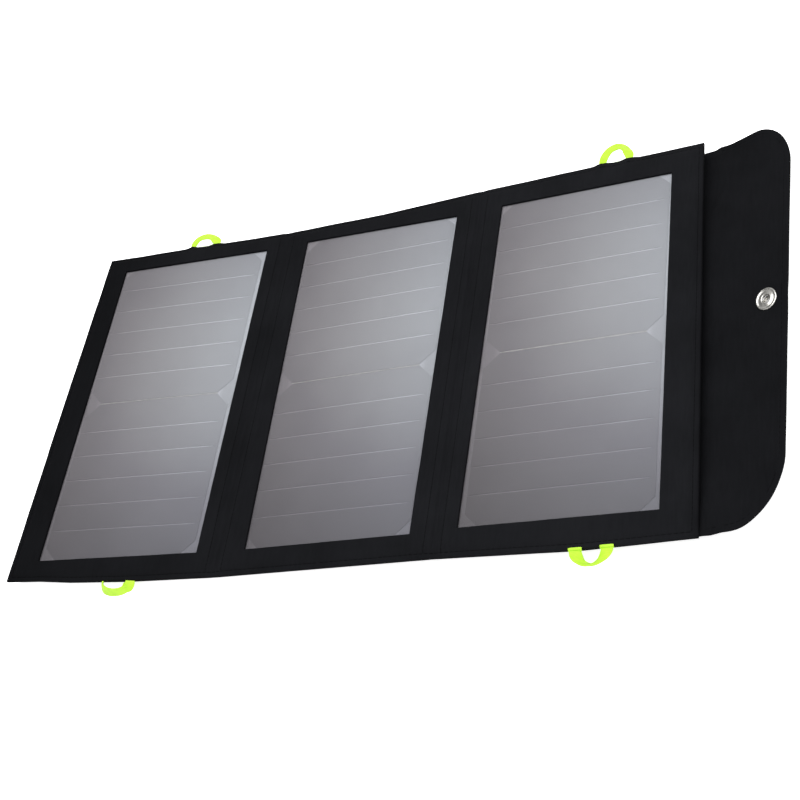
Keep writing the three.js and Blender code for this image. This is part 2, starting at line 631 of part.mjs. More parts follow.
// Stand the charger on Z = 0, centred over the origin
charger.updateMatrixWorld(true);
const extent = new THREE.Box3().setFromObject(charger, true);
const centre = extent.getCenter(new THREE.Vector3());
open.position.set(-centre.x, -centre.y, -extent.min.z);

export default charger;
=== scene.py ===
import json
import math

import bpy
import numpy as np
from mathutils import Matrix, Vector, noise


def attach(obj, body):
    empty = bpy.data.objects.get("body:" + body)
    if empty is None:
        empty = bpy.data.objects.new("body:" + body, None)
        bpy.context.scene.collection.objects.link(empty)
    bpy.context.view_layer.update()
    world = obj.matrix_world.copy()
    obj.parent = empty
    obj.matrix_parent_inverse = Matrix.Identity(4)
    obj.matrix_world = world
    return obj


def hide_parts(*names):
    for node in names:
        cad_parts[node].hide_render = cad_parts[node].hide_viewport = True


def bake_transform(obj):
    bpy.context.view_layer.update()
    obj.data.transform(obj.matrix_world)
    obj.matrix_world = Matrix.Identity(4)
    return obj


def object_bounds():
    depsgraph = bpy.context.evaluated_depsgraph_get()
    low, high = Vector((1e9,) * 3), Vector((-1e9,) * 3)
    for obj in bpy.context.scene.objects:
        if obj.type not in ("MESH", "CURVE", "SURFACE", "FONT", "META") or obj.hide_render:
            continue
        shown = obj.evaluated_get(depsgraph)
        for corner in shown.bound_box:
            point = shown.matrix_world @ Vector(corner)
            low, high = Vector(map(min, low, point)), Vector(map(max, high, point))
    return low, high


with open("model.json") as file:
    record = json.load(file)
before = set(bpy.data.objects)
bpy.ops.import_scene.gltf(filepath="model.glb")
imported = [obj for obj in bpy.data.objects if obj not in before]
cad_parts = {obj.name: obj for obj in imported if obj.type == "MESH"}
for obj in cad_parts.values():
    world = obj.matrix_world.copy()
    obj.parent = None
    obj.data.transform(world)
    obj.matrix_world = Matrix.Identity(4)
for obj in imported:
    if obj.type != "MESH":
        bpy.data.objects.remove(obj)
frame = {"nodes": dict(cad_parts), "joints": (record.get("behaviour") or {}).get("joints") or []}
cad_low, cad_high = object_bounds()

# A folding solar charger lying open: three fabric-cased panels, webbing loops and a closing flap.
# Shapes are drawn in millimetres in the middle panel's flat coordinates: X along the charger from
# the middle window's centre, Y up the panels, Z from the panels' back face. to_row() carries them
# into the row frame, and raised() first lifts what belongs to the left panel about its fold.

MM = 0.001

# ---- The flat frame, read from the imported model

FILM_HEIGHT = 2.425  # middle of the cover film above the panel's back face


def film_ends(side):
    """The middles of a cover film's left and right edges, in the row frame."""
    points = np.array([v.co for v in frame["nodes"][f"{side}_cover_film"].data.vertices])
    middle = (points[:, 0].min() + points[:, 0].max()) / 2
    return points[points[:, 0] < middle].mean(axis=0), points[points[:, 0] > middle].mean(axis=0)


def slope(side):
    left, right = film_ends(side)
    return math.atan2(right[2] - left[2], right[0] - left[0])


TILT = slope("middle")
LEFT_RISE = TILT - slope("left")
ALONG = np.array([math.cos(TILT), 0, math.sin(TILT)])
ACROSS = np.array([0, 1, 0])
UP = np.array([-math.sin(TILT), 0, math.cos(TILT)])
ORIGIN = sum(film_ends("middle")) / 2 - UP * FILM_HEIGHT * MM


def to_row(points):
    points = np.asarray(points, float)
    flat = points[..., :1] * ALONG + points[..., 1:2] * ACROSS + points[..., 2:] * UP
    return ORIGIN + flat * MM


def to_flat(point):
    away = (np.asarray(point, float) - ORIGIN) / MM
    return np.array([away @ ALONG, away @ ACROSS, away @ UP])


PIVOTS = {joint["name"]: to_flat(joint["pos_m"]) for joint in frame["joints"]}
FOLD_LEFT, FOLD_RIGHT = PIVOTS["fold_left"], PIVOTS["fold_right"]
SPINE_PIVOT, FLAP_PIVOT = PIVOTS["spine_fold"], PIVOTS["flap_fold"]


def turned_about(points, pivot, angle):
    """Points turned about the line along Y through a pivot; angle, in radians, may differ by point."""
    dx = points[..., 0] - pivot[0]
    dz = points[..., 2] - pivot[2]
    cos, sin = np.cos(angle), np.sin(angle)
    return np.stack([pivot[0] + dx * cos + dz * sin, points[..., 1], pivot[2] - dx * sin + dz * cos], -1)


def unit(vectors):
    return vectors / np.linalg.norm(vectors, axis=-1, keepdims=True)


def lengths_along(path):
    """How far along a path of points each of them lies."""
    return np.concatenate([[0], np.cumsum(np.linalg.norm(np.diff(path, axis=0), axis=1))])


def smooth(start, end, value):
    share = np.clip((np.asarray(value, float) - start) / (end - start), 0, 1)
    return share * share * (3 - 2 * share)


# ---- Driving dimensions, in millimetres

WINDOW = (128, 265)
left_film_middle = turned_about(to_flat(sum(film_ends("left")) / 2), FOLD_LEFT, -LEFT_RISE)
WINDOW_X = {
    "left": left_film_middle[0],
    "middle": 0.0,
    "right": to_flat(sum(film_ends("right")) / 2)[0],
}
HALF_W, HALF_H = WINDOW[0] / 2, WINDOW[1] / 2

THICKNESS = 4.2
LAMINATE = (69.3, 137.8)  # half sizes of the film, backsheet and board under the lip
BEND_LEFT = (FOLD_LEFT[0] - 7, FOLD_LEFT[0] + 7)
BEND_RIGHT = (FOLD_RIGHT[0] - 7, FOLD_RIGHT[0] + 8.5)

# The case's outline isn't square: each pair is a place along one edge and how far out it lies
NOMINAL = {"left": -250.0, "right": 252.0, "top": 150.0, "bottom": -154.0}
TOP_EDGE = ((-250, 145.2), (-83, 148.7), (0, 148.2), (82, 151.7), (252, 155.6))
BOTTOM_EDGE = ((-250, -149.2), (-226, -149.8), (-200, -151.7), (-150, -153.0), (-83, -152.6),
               (82, -152.8), (180, -155.4), (252, -153.6))
LEFT_EDGE = ((-157, -255.0), (0, -252.2), (150, -248.2))
RIGHT_EDGE = ((-157, 253.0), (154, 249.0))

MOUTH_X = 89.75  # right panel's pocket mouth, from its window centre
POCKET_END_X = 86.0  # the pocket's cloth ends just inside the mouth
POCKET_SEAM_X = -62
POCKET_DEPTH = 11.6

# How far each window's sewn edge lies outside its even place, at the edge's two ends: left then
# right along the top and bottom edges, bottom then top along the sides
WINDOW_EDGES = {
    "left": {"top": (-2.1, 0.1), "bottom": (1.9, 1.6), "left": (0.8, -0.7), "right": (2.4, 2.4)},
    "middle": {"top": (1.8, -1.7), "bottom": (1.9, 1.9), "left": (-3.0, 0.0), "right": (-0.2, 0.2)},
    "right": {"top": (-0.3, -0.2), "bottom": (0.6, 0.9), "left": (2.0, -0.7), "right": (1.6, -0.4)},
}

# ---- Materials


def srgb(red, green, blue):
    """A linear colour from an sRGB one given from 0 to 255."""
    def linear(value):
        value /= 255
        return value / 12.92 if value <= 0.04045 else ((value + 0.055) / 1.055) ** 2.4
    return (linear(red), linear(green), linear(blue), 1.0)


def grey(level):
    return (level, level, level, 1.0)


class Look:
    """A node material with short ways to add and join its nodes."""

    def __init__(self, name, roughness=0.5, metallic=0.0, **sockets):
        self.material = bpy.data.materials.new(name)
        self.material.use_nodes = True
        self.tree = self.material.node_tree
        self.shader = self.tree.nodes["Principled BSDF"]
        for socket, value in {"Roughness": roughness, "Metallic": metallic, **sockets}.items():
            self.shader.inputs[socket.replace("_", " ")].default_value = value
        self.place = self.add("ShaderNodeTexCoord").outputs["Object"]

    def add(self, kind, **settings):
        node = self.tree.nodes.new(kind)
        for key, value in settings.items():
            setattr(node, key, value)
        return node

    def join(self, output, target):
        self.tree.links.new(output, target)

    def feed(self, sockets, values):
        """Gives each socket its value, or joins it to the output that stands for it."""
        for socket, value in zip(sockets, values):
            if isinstance(value, (int, float, tuple)):
                socket.default_value = value
            else:
                self.join(value, socket)

    def reading(self, kind, place=None, inputs=None, **settings):
        """The outputs of a node that reads a place, by default the object's own."""
        node = self.add(kind, **settings)
        for name, value in (inputs or {}).items():
            node.inputs[name].default_value = value
        self.join(place or self.place, node.inputs["Vector"])
        return node.outputs

    def scaled(self, scale):
        return self.reading("ShaderNodeMapping", None, {"Scale": scale})["Vector"]

    def axes(self):
        """The place's X, Y and Z."""
        return self.reading("ShaderNodeSeparateXYZ")

    def noise(self, size, detail=3.0, place=None):
        """Noise whose features are about size metres across."""
        return self.reading("ShaderNodeTexNoise", place, {"Scale": 1 / size, "Detail": detail})["Fac"]

    def bands(self, pitch, direction, place=None):
        """Even waves a pitch apart, in metres, along X, Y or Z."""
        inputs = {"Scale": 2 * math.pi / (20 * pitch), "Distortion": 0}
        return self.reading("ShaderNodeTexWave", place, inputs, bands_direction=direction)["Fac"]

    def maths(self, operation, first, second=0.0):
        node = self.add("ShaderNodeMath", operation=operation)
        self.feed(node.inputs, (first, second))
        return node.outputs[0]

    def times(self, first, second):
        return self.maths("MULTIPLY", first, second)

    def plus(self, first, second):
        return self.maths("ADD", first, second)

    def spread(self, value, low, high, new_low, new_high):
        node = self.add("ShaderNodeMapRange")
        self.feed(node.inputs, (value, low, high, new_low, new_high))
        return node.outputs["Result"]

    def ramp(self, value, *stops):
        """Colours along a value: each stop is a place and a colour."""
        node = self.add("ShaderNodeValToRGB")
        elements = node.color_ramp.elements
        while len(elements) < len(stops):
            elements.new(0.5)
        for element, (place, colour) in zip(elements, stops):
            element.position = place
            element.color = colour
        self.join(value, node.inputs["Fac"])
        return node.outputs["Color"]

    def mix(self, share, first, second, blend_type="MIX"):
        node = self.add("ShaderNodeMix", data_type="RGBA", blend_type=blend_type)
        self.feed((node.inputs[0], node.inputs[6], node.inputs[7]), (share, first, second))
        return node.outputs[2]

    def colour(self, output):
        self.join(output, self.shader.inputs["Base Color"])

    def rough(self, value, low, high):
        self.join(self.spread(value, 0.3, 0.7, low, high), self.shader.inputs["Roughness"])

    def bump(self, height, distance):
        node = self.add("ShaderNodeBump")
        node.inputs["Distance"].default_value = distance
        self.join(height, node.inputs["Height"])
        self.join(node.outputs["Normal"], self.shader.inputs["Normal"])


# The light painted into the cloth's colour along the open charger, from the left edge at 0 to the flap's
# at 1:
# the cloth is painted paler up to the flap, where more light falls, and painted darker again on the flap
CLOTH_PAINTED_LIGHT = ((0.0, 0.5), (0.15, 0.78), (0.5, 0.82), (0.74, 0.98), (0.885, 1.0), (0.905, 0.72))


def woven(name, dark, light, pitch=0.00062):
    """Plain-woven polyester between two sRGB shades: crossing yarns, a little slub and soft clouds, under
    painted light that is paler towards the flap.
    """
    roughness = 0.85
    dark, light = srgb(*dark), srgb(*light)
    look = Look(name, roughness, Sheen_Weight=0.002, Sheen_Roughness=0.45, Specular_IOR_Level=0.02)
    warp = look.bands(pitch, "X")
    weft = look.bands(pitch, "Y")
    over = look.times(warp, look.maths("SUBTRACT", 1.0, weft))
    under = look.times(weft, look.maths("SUBTRACT", 1.0, warp))
    weave = look.maths("MAXIMUM", over, under)
    cloud = look.noise(0.045, 4)
    slub = look.noise(0.0016, 2, look.scaled((1, 0.12, 1)))
    shade = look.plus(look.times(cloud, 0.7), look.times(slub, 0.3))
    tone = look.ramp(shade, (0.35, dark), (0.68, light))
    threads = look.mix(look.times(weave, 0.35), tone, light)
    # painted light: the colour is multiplied by a ramp along the case, darker at the left and paler
    # towards the flap
    along_case = look.spread(look.axes()["X"], cad_low[0], cad_high[0], 0, 1)
    painted_side_light = look.ramp(along_case, *[(place, grey(level)) for place, level in CLOTH_PAINTED_LIGHT])
    look.colour(look.mix(1.0, threads, painted_side_light, "MULTIPLY"))
    look.rough(cloud, roughness - 0.06, roughness + 0.06)
    look.bump(look.plus(weave, look.times(slub, 0.6)), 0.00005)
    return look.material


def webbing_look():
    """Lime polyester tape: ribs across it, with a painted highlight: the ribs are painted paler, as where
    the yarns catch the light.
    """
    look = Look("webbing_lime", 0.62, Sheen_Weight=0.05, Sheen_Roughness=0.4, Specular_IOR_Level=0.2)
    tape = look.add("ShaderNodeAttribute", attribute_name="tape").outputs["Vector"]
    ribs = look.bands(0.0011, "X", tape)
    cross = look.bands(0.0009, "Y", tape)
    weave = look.times(ribs, look.plus(look.times(cross, 0.5), 0.5))
    worn = look.noise(0.004, 4)
    tone = look.ramp(worn, (0.3, srgb(160, 208, 36)), (0.7, srgb(177, 222, 54)))
    # painted highlight: the ribs are mixed towards a paler lime, as if catching the light
    look.colour(look.mix(look.times(weave, 0.35), tone, srgb(192, 232, 92)))
    look.rough(worn, 0.55, 0.72)
    look.bump(weave, 0.00012)
    return look.material


# Light and shade painted into each window's colour: a painted highlight centred past its right edge, and
# painted shade falling slowly down it.
# Places run from 0 to 1, from a window's left edge and from its top.
PAINTED_GLOW = {"base": 0.36, "rise": 0.34, "centre": (1.1, 0.37), "reach": (1.27, 0.66)}
PAINTED_GLOW_FALL = {"left": 0.07, "middle": 0.078, "right": 0.095}
PAINTED_GLOW_TINTS = ((0.3, (0.985, 0.965, 1.03)), (0.5, (0.99, 0.98, 1.03)), (0.7, (0.99, 1.0, 1.02)))
SIDE_BANDS = (0.06, 0.1, 0.9, 0.94)  # where the backsheet beside the wafers starts and ends
MIDDLE_ROW = (0.43, 0.46, 0.54, 0.57)  # and the darker row between the upper and the lower wafer
ROW_SHADE = 0.78


def painted_window_light(look, side):
    """How bright each place of a window's laminate is painted, with painted highlight and shade: about
    0.3 at its foot and 0.7 at its right edge, with how far across and down the window each place is."""
    left, top, _ = to_row([WINDOW_X[side] - HALF_W, HALF_H, FILM_HEIGHT])
    axes = look.axes()
    across = look.spread(axes["X"], left, left + WINDOW[0] * MM, 0, 1)
    down = look.spread(axes["Y"], top, top - WINDOW[1] * MM, 0, 1)
    away = []
    for value, centre, reach in zip((across, down), PAINTED_GLOW["centre"], PAINTED_GLOW["reach"]):
        scaled = look.maths("DIVIDE", look.maths("SUBTRACT", value, centre), reach)
        away.append(look.times(scaled, scaled))
    near = look.maths("EXPONENT", look.times(look.plus(*away), -1.0))
    falling = look.maths("SUBTRACT", PAINTED_GLOW["base"], look.times(down, PAINTED_GLOW_FALL[side]))
    drift = look.spread(look.noise(0.045, 3), 0.3, 0.7, -0.008, 0.008)
    # painted highlight and shade: the painted fall down the window plus the painted highlight past its
    # right edge
    painted_glow = look.plus(look.plus(falling, drift), look.times(near, PAINTED_GLOW["rise"]))
    return painted_glow, across, down


def painted_light_colour(look, side, gain, edge_gain=None):
    """The laminate's colour under its painted light: purplish where the painted light is dim, neutral
    where it is bright, warm on the left.
    edge_gain, where it is given, holds along the window's two side edges, and darkens its middle row."""
    painted_glow, across, down = painted_window_light(look, side)
    stops = []
    for level, tint in PAINTED_GLOW_TINTS:
        stops.append((level, tuple(gain * (level * part) ** 2.2 for part in tint) + (1.0,)))
    # the window's painted highlight and shade, turned into colour
    shade = look.ramp(painted_glow, *stops)
    tint = look.ramp(across, (0.0, (1.0, 0.965, 0.93, 1)), (1.0, (0.97, 0.995, 1.02, 1)))
    colour = look.mix(1.0, shade, tint, "MULTIPLY")
    if edge_gain is None:
        return colour
    edge, full, shaded = grey(edge_gain / gain), grey(1.0), grey(ROW_SHADE)
    sides = look.ramp(across, *zip(SIDE_BANDS, (edge, full, full, edge)))
    row = look.ramp(down, *zip(MIDDLE_ROW, (full, shaded, shaded, full)))
    return look.mix(1.0, look.mix(1.0, colour, sides, "MULTIPLY"), row, "MULTIPLY")


def silicon_look(side):
    """Blue-grey silicon, with fine finger lines across each strip."""
    look = Look(f"silicon_{side}", 0.4, Specular_IOR_Level=0.3)
    # painted light: the silicon carries its window's painted highlight and shade
    base = painted_light_colour(look, side, 0.74)
    fingers = look.bands(0.0016, "X")
    thin = look.times(look.maths("POWER", fingers, 8.0), 0.03)
    look.colour(look.mix(thin, base, (0.6, 0.6, 0.62, 1)))
    look.rough(look.noise(0.02, 3), 0.36, 0.46)
    look.bump(fingers, 0.000002)
    return look.material


def backsheet_look(side):
    """Pale polymer backsheet, showing between the strips and at the wafers' cropped corners."""
    look = Look(f"backsheet_{side}", 0.5, Specular_IOR_Level=0.3)
    # painted light: the backsheet carries its window's painted highlight and shade
    look.colour(painted_light_colour(look, side, 1.75, edge_gain=1.2))
    look.rough(look.noise(0.01), 0.45, 0.55)
    look.bump(look.noise(0.002), 0.00002)
    return look.material


def film_look(side):
    """Frosted cover film: thin and slightly milky, so what lies under it looks softer."""
    look = Look(f"cover_film_{side}", 0.32, Alpha=0.22, Specular_IOR_Level=0.3)
    # painted light: the film carries its window's painted highlight and shade
    look.colour(painted_light_colour(look, side, 0.78))
    look.rough(look.noise(0.012), 0.28, 0.38)
    return look.material


def metal_look(name, colour, roughness):
    """Plated metal: bright, with fine turning marks and a little tarnish."""
    look = Look(name, roughness, 1.0)
    tarnish = look.noise(0.003, 4)
    marks = look.noise(0.0004, 2)
    darker = tuple(0.72 * value for value in colour[:3]) + (1.0,)
    look.colour(look.ramp(tarnish, (0.3, darker), (0.6, colour)))
    look.rough(tarnish, roughness - 0.06, roughness + 0.1)
    look.bump(marks, 0.00001)
    return look.material


def moulded_look(name, tone, roughness=0.5, grain=0.0005):
    """Moulded or coated plastic with a fine spark-eroded grain, in an sRGB tone."""
    look = Look(name, roughness)
    colour = srgb(*tone)
    fine = look.noise(grain, 2)
    wear = look.noise(0.012, 3)
    paler = tuple(min(1.0, 1.35 * value + 0.01) for value in colour[:3]) + (1.0,)
    look.colour(look.ramp(wear, (0.35, colour), (0.75, paler)))
    look.rough(wear, roughness - 0.06, roughness + 0.08)
    look.bump(fine, 0.00003)
    return look.material


LOOKS = {
    "case_fabric": woven("case_fabric", (17.5, 18, 20), (25, 25.5, 28)),
    "lining_fabric": woven("lining_fabric", (16, 16.5, 18.5), (23, 23.5, 26), pitch=0.0005),
    "thread": woven("thread_black", (13, 13.5, 15), (18, 18.5, 20), pitch=0.0003),
    "webbing": webbing_look(),
    "stiffener": moulded_look("stiffener_board", (60, 60, 62), 0.65),
    "tinned_copper": metal_look("tinned_copper", (0.52, 0.51, 0.50, 1), 0.45),
    "nickel": metal_look("nickel", (0.55, 0.54, 0.51, 1), 0.27),
    "steel": metal_look("steel", (0.62, 0.62, 0.63, 1), 0.28),
    "housing": moulded_look("housing_black", (30, 31, 33), 0.5),
    "circuit": moulded_look("circuit_green", (26, 84, 48), 0.45, 0.001),
    "coil": moulded_look("coil_grey", (52, 52, 55), 0.6),
    "lead": moulded_look("lead_jacket", (22, 22, 24), 0.45),
    "lens": moulded_look("status_lens", (214, 226, 216), 0.2),
}
LOOKS_BY_SIDE = {"solar_cell": silicon_look, "backsheet": backsheet_look, "cover_film": film_look}

# ---- Mesh helpers


def linked(name, data):
    """A new object in the scene that shows the data."""
    thing = bpy.data.objects.new(name, data)
    bpy.context.scene.collection.objects.link(thing)
    return thing


def make_piece(name, points, faces, slot, look=None):
    """A smooth-shaded object from points in the row frame. Its look is its slot's, if none is given."""
    used = sorted({index for face in faces for index in face})
    renamed = {index: number for number, index in enumerate(used)}
    mesh = bpy.data.meshes.new(name)
    mesh.from_pydata(np.asarray(points)[used].tolist(), [],
                     [[renamed[index] for index in face] for face in faces])
    mesh.validate()
    mesh.polygons.foreach_set("use_smooth", [True] * len(mesh.polygons))
    mesh.set_sharp_from_angle(angle=math.radians(50))
    mesh.materials.append(LOOKS[look or slot])
    piece = linked(name, mesh)
    return piece


def stations(marks, pitch, rim=()):
    """Grid lines through the marks, at most a pitch apart, with finer ones beside each mark."""
    closest = 0.12
    found = set()
    for start, end in zip(marks, marks[1:]):
        count = max(1, math.ceil((end - start) / pitch))
        found.update(np.linspace(start, end, count + 1))
        near = [step for step in rim if step < (end - start) / 2]
        found.update([start + step for step in near] + [end - step for step in near])
    kept = []
    for value in sorted(found):
        if not kept or value - kept[-1] >= closest:
            kept.append(value)
    kept[-1] = marks[-1]
    return np.array(kept)


def closed_sheet(xs, ys, top, bottom, placed, is_open=None):
    """Points and faces of a closed sheet on a grid of x and y lines. top and bottom are its faces'
    heights, placed carries flat points to the row frame, and is_open says which cells are cut out."""
    grid_x, grid_y = np.meshgrid(xs, ys, indexing="ij")
    upper = placed(grid_x, grid_y, top(grid_x, grid_y))
    lower = placed(grid_x, grid_y, bottom(grid_x, grid_y))
    points = np.concatenate([upper.reshape(-1, 3), lower.reshape(-1, 3)])
    middle_x, middle_y = np.meshgrid((xs[1:] + xs[:-1]) / 2, (ys[1:] + ys[:-1]) / 2, indexing="ij")
    solid = np.ones(middle_x.shape, bool) if is_open is None else ~is_open(middle_x, middle_y)
    columns, rows = solid.shape
    below = grid_x.size
    faces = []
    for i, j in np.argwhere(solid):
        corner = i * len(ys) + j
        a, b, c, d = corner, corner + len(ys), corner + len(ys) + 1, corner + 1
        faces += [(a, b, c, d), (d + below, c + below, b + below, a + below)]
        for p, q, ni, nj in ((a, b, i, j - 1), (b, c, i + 1, j), (c, d, i, j + 1), (d, a, i - 1, j)):
            if not (0 <= ni < columns and 0 <= nj < rows and solid[ni, nj]):
                faces.append((q, p, p + below, q + below))
    return points, faces


def rounding(distance, radius):
    """How far a surface has dropped where it rounds over to an edge."""
    near = np.clip(radius - distance, 0, radius)
    return radius - np.sqrt(radius * radius - near * near)


def ripple(x, y, size, seed=0.0):
    """Smooth unevenness from -1 to 1, about size millimetres across."""
    flat_x, flat_y = np.broadcast_arrays(x, y)
    values = [noise.noise(Vector((a / size, b / size, seed))) for a, b in zip(flat_x.flat, flat_y.flat)]
    return np.array(values).reshape(flat_x.shape)


# ---- The fabric case: outline, folds and heights

RIM_LINES = (0.25, 0.7, 1.3, 2.1, 3.2, 4.6, 6.4)  # grid lines beside each mark
HEM = {"width": 7.0, "sink": 1.1}
VALLEY = 2.1  # how far the front sinks along each fold
WAVES = ((0.28, 26, 0.0), (0.12, 9, 4.0))  # the front's unevenness: heights, sizes and seeds


def along(edge, value):
    """How far out an edge lies at each place along it, from pairs of both."""
    return np.interp(value, *zip(*edge))


def foot_bulge(x, y):
    """The seam swells, from 0 to 1, where the upper loops' tapes go into it."""
    swell = 0
    for side in ("left", "right"):
        for leg in LOOPS[f"loop_{side}_top"]["legs"]:
            swell = swell + np.exp(-((x - WINDOW_X[side] - leg) / 3.6) ** 2)
    return swell * smooth(NOMINAL["top"] - 7, NOMINAL["top"] - 1, y)


def stretched(value, inner, nominal, out):
    """Values beyond inner, moved so that the nominal edge comes to out."""
    return inner + (value - inner) * (out - inner) / (nominal - inner)


def window_shift(x, y):
    """How far the windows' sewn edges carry the cloth beside them, in X and in Y."""
    def near(distance):
        return 1 - smooth(2, 13, distance)

    move_x = np.zeros(np.shape(x))
    move_y = np.zeros(np.shape(x))
    for side, edges in WINDOW_EDGES.items():
        local = x - WINDOW_X[side]
        past_x, past_y = np.abs(local) - HALF_W, np.abs(y) - HALF_H
        near_x, near_y = near(past_x), near(past_y)
        beside, above = near(np.abs(past_x)), near(np.abs(past_y))
        for name, sign in (("left", -1), ("right", 1)):
            out = np.interp(y, (-HALF_H, HALF_H), edges[name])
            move_x = move_x + sign * out * beside * near_y * (sign * local > 0)
        for name, sign in (("bottom", -1), ("top", 1)):
            out = np.interp(local, (-HALF_W, HALF_W), edges[name])
            move_y = move_y + sign * out * above * near_x * (sign * y > 0)
    return move_x, move_y


def outlined(x, y):
    """Nominal points moved so that the case's outline and its windows follow their edges."""
    out_y = np.where(y > 0, along(TOP_EDGE, x) + 1.1 * foot_bulge(x, y), along(BOTTOM_EDGE, x))
    nominal_y = np.where(y > 0, NOMINAL["top"], NOMINAL["bottom"])
    inner_y = np.sign(y) * HALF_H
    new_y = np.where(np.abs(y) > HALF_H, stretched(y, inner_y, nominal_y, out_y), y)
    inner_left, inner_right = WINDOW_X["left"] - HALF_W, WINDOW_X["right"] + HALF_W
    to_left = stretched(x, inner_left, NOMINAL["left"], along(LEFT_EDGE, y))
    to_right = stretched(x, inner_right, NOMINAL["right"], along(RIGHT_EDGE, y))
    new_x = np.where(x < inner_left, to_left, np.where(x > inner_right, to_right, x))
    move_x, move_y = window_shift(x, y)
    return new_x + move_x, new_y + move_y


def raised(points):
    """Lifts the left panel about its fold, turning smoothly over the bend."""
    share = 1 - smooth(*BEND_LEFT, points[..., 0])
    return turned_about(points, FOLD_LEFT, LEFT_RISE * share)


def case_point(x, y, z):
    new_x, new_y = outlined(x, y)
    return to_row(raised(np.stack([new_x, new_y, z], -1)))


def outer_distance(x, y):
    across = np.minimum(x - NOMINAL["left"], NOMINAL["right"] - x)
    return np.minimum(across, np.minimum(NOMINAL["top"] - y, y - NOMINAL["bottom"]))


def window_distance(x, y, half=(HALF_W, HALF_H)):
    """How far a point lies outside the nearest window, or outside a rectangle with other half sizes
    about the window's centre; negative inside."""
    away = [np.maximum(np.abs(x - centre) - half[0], np.abs(y) - half[1]) for centre in WINDOW_X.values()]
    return np.minimum.reduce(away)


def fold_sink(x, y):
    """The soft valleys along the two folds, and the shallow pleats beside them."""
    left = VALLEY * (0.75 + 0.25 * smooth(60, -60, y)) * np.exp(-((x - FOLD_LEFT[0] + 1.5) / 3.6) ** 2)
    right = 0.8 * VALLEY * np.exp(-((x - FOLD_RIGHT[0] - 0.5) / 3.2) ** 2)
    pleats = 0.22 * np.cos((x - FOLD_RIGHT[0]) * 1.5) * np.exp(-((x - FOLD_RIGHT[0]) / 9) ** 2)
    return (left + right + pleats) * (0.3 + 0.7 * smooth(0, 16, outer_distance(x, y)))


def front_top(x, y):
    outer = outer_distance(x, y)
    height = THICKNESS - HEM["sink"] * (1 - smooth(2.0, HEM["width"], outer))
    height = height - fold_sink(x, y)
    for rise, size, seed in WAVES:
        height = height + rise * ripple(x, y, size, seed)
    height = height + foot_bulge(x, y)
    return height - rounding(outer, 1.2) - rounding(np.maximum(window_distance(x, y), 0), 0.8)


def front_bottom(x, y):
    """The front's inner face: over the laminate's edges it is the lip, elsewhere it is deeper."""
    return 2.65 - 1.45 * smooth(0.5, 3.0, window_distance(*outlined(x, y), LAMINATE))


def back_top(x, y):
    return np.full(np.shape(x), 0.5)


def back_bottom(x, y):
    folds = [np.exp(-((x - fold[0]) / 2.6) ** 2) for fold in (FOLD_LEFT, FOLD_RIGHT)]
    return 0.12 * sum(folds) + rounding(outer_distance(x, y), 0.4) - 0.08 * ripple(x, y, 20, 9.0)


def case_stations(start, end):
    """Grid lines along X between two places on the case, finer at edges, windows and folds."""
    marks = [NOMINAL["left"], NOMINAL["right"], FOLD_LEFT[0], FOLD_RIGHT[0], 0.0]
    marks += [centre + side * HALF_W for centre in WINDOW_X.values() for side in (-1, 1)]
    marks += [fold + step for fold in (FOLD_LEFT[0], FOLD_RIGHT[0]) for step in (-8, 8)]
    lines = stations(sorted(marks), 5.0, RIM_LINES)
    return lines[(lines >= start - 0.01) & (lines <= end + 0.01)]


CASE_HALVES = {"left": ("left_panel", "middle_panel", BEND_LEFT),
               "right": ("middle_panel", "right_panel", BEND_RIGHT)}


def bend_between(piece):
    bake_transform(piece)


def bend_case(piece):
    bend_between(piece)


def add_case():
    ys = stations([NOMINAL["bottom"], -HALF_H, HALF_H, NOMINAL["top"]], 5.0, RIM_LINES)
    reach = {"left": (NOMINAL["left"], 0.0), "right": (0.0, NOMINAL["right"])}
    nodes = {"left": ["left"], "right": ["middle", "right"]}
    for side, (first, second, bend) in CASE_HALVES.items():
        xs = case_stations(*reach[side])
        front = closed_sheet(xs, ys, front_top, front_bottom, case_point, in_window)
        back = closed_sheet(xs, ys, back_top, back_bottom, case_point)
        for face, shape, slot, node in (("front", front, "case_fabric", "front_frame"),
                                        ("back", back, "lining_fabric", "back_cover")):
            piece = make_piece(f"case_{face}_{side}", *shape, slot)
            bend_case(piece)
            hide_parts(f"hinge_{side}_{face}_strip", *[f"{panel}_{node}" for panel in nodes[side]])


def in_window(x, y):
    return window_distance(x, y) < 0


# ---- Pocket behind the right panel


def pocket_drop(x, y):
    """How far the pocket's sheet hangs below the panel, from 0 to 1. x is from the window's centre."""
    lengthwise = smooth(POCKET_SEAM_X, 30, x) * (1 - 0.5 * smooth(70, MOUTH_X, x))
    edge = np.minimum(NOMINAL["top"] - y, y - NOMINAL["bottom"])
    pillow = 1 - (1 - np.clip(edge / 34, 0, 1)) ** 2.6
    mouth = smooth(-152, -100, y) + 0.12 * smooth(95, 130, y)
    return lengthwise * (pillow + (mouth - pillow) * smooth(58, 88, x))


def pocket_bottom(x, y):
    local = x - WINDOW_X["right"]
    inside = np.minimum(local - POCKET_SEAM_X, outer_distance(x, y) + 8)
    creases = 0.5 * ripple(x, y, 22, 3.0) * smooth(0, 25, inside)
    drop = pocket_drop(local, y)
    return -0.2 - (POCKET_DEPTH - 0.35) * drop + creases * (1 - drop ** 3)


def pocket_top(x, y):
    return pocket_bottom(x, y) + 0.9


